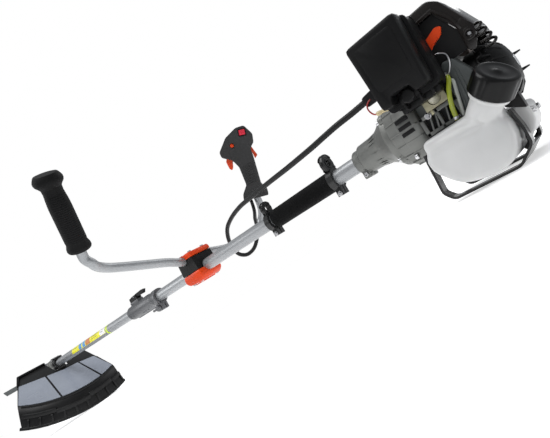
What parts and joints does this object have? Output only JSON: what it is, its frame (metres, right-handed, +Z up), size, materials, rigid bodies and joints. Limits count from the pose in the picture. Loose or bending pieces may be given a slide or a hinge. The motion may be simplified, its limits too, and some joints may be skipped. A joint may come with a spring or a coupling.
{
  "type": "brush cutter",
  "caption": "Petrol brush cutter: two-piece shaft with angled cutting head, blade and guard, bull-horn handlebar with throttle grip, and a small two-stroke engine on a stand.",
  "frame": {"origin": "centre of the machine's bounding box in plan, on the floor it rests on", "axes": "+X from the cutting head towards the engine, +Y to the operator's right, +Z up"},
  "size_m": [2, 0.6056, 0.4413],
  "materials": {
    "satin_tube": "satin anodised tube",
    "cast_aluminium": "die-cast, matt",
    "steel": "machined steel",
    "blade_steel": "ground blade steel",
    "black_plastic": "moulded, fine grain",
    "gloss_black": "moulded, glossy",
    "black_rubber": "matt rubber",
    "foam": "closed-cell foam sleeve",
    "black_steel": "black powder coat",
    "orange_plastic": "orange moulding",
    "red_plastic": "red rocker",
    "guard_grey": "blue-grey glossy panel",
    "tank_plastic": "translucent natural polyethylene",
    "muffler_steel": "heat-resistant dark paint",
    "crankcase_grey": "dark grey casting",
    "bulb_plastic": "clear soft bulb",
    "ceramic": "white ceramic"
  },
  "bodies": {
    "engine_and_upper_shaft": {"upper_tube": "satin_tube", "coupler_body": "cast_aluminium", "coupler_latch_block": "black_plastic", "handlebar": "satin_tube", "clamp_base": "orange_plastic", "clamp_middle": "black_plastic", "clamp_cap": "orange_plastic", "left_grip": "black_rubber", "throttle_shell_inner": "black_plastic", "throttle_shell_outer": "black_plastic", "throttle_conduit": "black_rubber", "foam_sleeve": "foam", "hanger_front": "black_steel", "hanger_rear": "black_steel", "clutch_housing": "cast_aluminium", "fan_housing": "cast_aluminium", "crankcase": "crankcase_grey", "cylinder": "cast_aluminium", "spark_plug": "ceramic", "engine_shroud": "gloss_black", "muffler": "muffler_steel", "carburettor": "cast_aluminium", "air_filter_base": "black_plastic", "recoil_housing": "black_plastic", "fuel_tank": "tank_plastic", "stand": "black_steel"},
    "lower_shaft_unit": {"lower_tube": "satin_tube", "gear_case": "cast_aluminium", "guard_body": "black_plastic", "guard_panel_left": "guard_grey", "guard_panel_middle": "guard_grey", "guard_panel_right": "guard_grey", "line_cutter": "steel", "guard_bracket": "black_steel"},
    "lower_drive": {"lower_drive_shaft": "steel", "bevel_pinion": "steel"},
    "upper_drive": {"upper_drive_shaft": "steel", "clutch_drum": "steel"},
    "blade_stack": {"output_shaft": "steel", "blade_adapter": "steel", "cutting_blade": "blade_steel", "blade_cup": "steel", "blade_nut": "steel"},
    "crank_train": {"crankshaft": "steel", "flywheel": "cast_aluminium", "clutch_shoes": "cast_aluminium"},
    "piston_body": {"piston": "cast_aluminium"},
    "starter_pulley": {"recoil_pulley": "guard_grey"},
    "starter_handle": {"pull_handle": "black_plastic"},
    "trigger": {"throttle_trigger": "orange_plastic"},
    "lockout": {"throttle_lockout": "orange_plastic"},
    "stop_rocker": {"stop_switch": "red_plastic"},
    "lock_button": {"throttle_lock_button": "orange_plastic"},
    "latch_lever": {"coupler_latch_lever": "black_plastic"},
    "clamp_knob": {"coupler_knob": "cast_aluminium"},
    "choke": {"choke_lever": "orange_plastic"},
    "primer": {"primer_bulb": "bulb_plastic"},
    "tank_cap": {"fuel_cap": "gloss_black"},
    "filter_cover": {"air_filter_cover": "black_plastic"}
  },
  "joints": [
    {"name": "shaft_slide", "type": "slide", "parent": "engine_and_upper_shaft", "child": "lower_shaft_unit", "axis": [-0.9985, 0, 0.0546], "range_m": [0, 0.07]},
    {"name": "blade_spin", "type": "hinge", "parent": "lower_shaft_unit", "child": "blade_stack", "pos_m": [-0.87016, -0.00021, 0.21732], "axis": [-0.5754, 0, -0.8178], "continuous": true},
    {"name": "lower_drive_spin", "type": "hinge", "parent": "lower_shaft_unit", "child": "lower_drive", "pos_m": [-0.85019, -0.00021, 0.21622], "axis": [0.9985, 0, -0.0546], "continuous": true},
    {"name": "upper_drive_spin", "type": "hinge", "parent": "engine_and_upper_shaft", "child": "upper_drive", "pos_m": [0.77738, -0.00021, 0.12722], "axis": [0.9985, 0, -0.0546], "continuous": true},
    {"name": "crank_spin", "type": "hinge", "parent": "engine_and_upper_shaft", "child": "crank_train", "pos_m": [0.90718, -0.00021, 0.12012], "axis": [0.9985, 0, -0.0546], "continuous": true},
    {"name": "piston_stroke", "type": "slide", "parent": "engine_and_upper_shaft", "child": "piston_body", "axis": [0.0546, 0, 0.9985], "range_m": [-0.013, 0.009]},
    {"name": "starter_pull", "type": "slide", "parent": "engine_and_upper_shaft", "child": "starter_handle", "axis": [0, 1, 0], "range_m": [0, 0.7], "stiffness_N_per_m": 8, "springref_m": -0.2},
    {"name": "pulley_spin", "type": "hinge", "parent": "engine_and_upper_shaft", "child": "starter_pulley", "pos_m": [0.9651, -0.00021, 0.11696], "axis": [0.9985, 0, -0.0546], "range_deg": [-1350, 10]},
    {"name": "trigger_squeeze", "type": "hinge", "parent": "engine_and_upper_shaft", "child": "trigger", "pos_m": [0.31551, 0.24932, 0.37957], "axis": [0.5525, -0.788, -0.2716], "range_deg": [0, 14], "stiffness_Nm_per_rad": 0.3, "springref_deg": -8.59},
    {"name": "lockout_press", "type": "hinge", "parent": "engine_and_upper_shaft", "child": "lockout", "pos_m": [0.35104, 0.27641, 0.37325], "axis": [-0.5525, 0.788, 0.2716], "range_deg": [0, 8], "stiffness_Nm_per_rad": 0.3, "springref_deg": -5.73},
    {"name": "stop_switch_rock", "type": "hinge", "parent": "engine_and_upper_shaft", "child": "stop_rocker", "pos_m": [0.37108, 0.25501, 0.41354], "axis": [0.7072, 0.6157, -0.3476], "range_deg": [-8, 8]},
    {"name": "lock_button_press", "type": "slide", "parent": "engine_and_upper_shaft", "child": "lock_button", "axis": [-0.5525, 0.788, 0.2716], "range_m": [0, 0.0035], "stiffness_N_per_m": 300, "springref_m": -0.001},
    {"name": "latch_lift", "type": "hinge", "parent": "engine_and_upper_shaft", "child": "latch_lever", "pos_m": [-0.06933, -0.00021, 0.21058], "axis": [0, -1, 0], "range_deg": [0, 30], "stiffness_Nm_per_rad": 0.5, "springref_deg": -11.46},
    {"name": "clamp_knob_turn", "type": "hinge", "parent": "engine_and_upper_shaft", "child": "clamp_knob", "pos_m": [0.02697, -0.01821, 0.14022], "axis": [0, -1, 0], "range_deg": [0, 720]},
    {"name": "choke_turn", "type": "hinge", "parent": "engine_and_upper_shaft", "child": "choke", "pos_m": [0.92477, -0.05961, 0.18526], "axis": [0, -1, 0], "range_deg": [0, 50]},
    {"name": "primer_press", "type": "slide", "parent": "engine_and_upper_shaft", "child": "primer", "axis": [0, 1, 0], "range_m": [0, 0.0045], "stiffness_N_per_m": 400, "springref_m": -0.001},
    {"name": "tank_cap_turn", "type": "hinge", "parent": "engine_and_upper_shaft", "child": "tank_cap", "pos_m": [0.96805, -0.08821, 0.09777], "axis": [0.7816, -0.3179, 0.5367], "range_deg": [0, 540]},
    {"name": "filter_cover_pull", "type": "slide", "parent": "engine_and_upper_shaft", "child": "filter_cover", "axis": [0, -1, 0], "range_m": [0, 0.06]}
  ],
  "couplings": [
    {"joint": "lower_drive_spin", "follows": "blade_spin", "ratio": -1.4286},
    {"joint": "upper_drive_spin", "follows": "blade_spin", "ratio": -1.4286},
    {"joint": "pulley_spin", "follows": "starter_pull", "rad_per_m": -33.333}
  ]
}
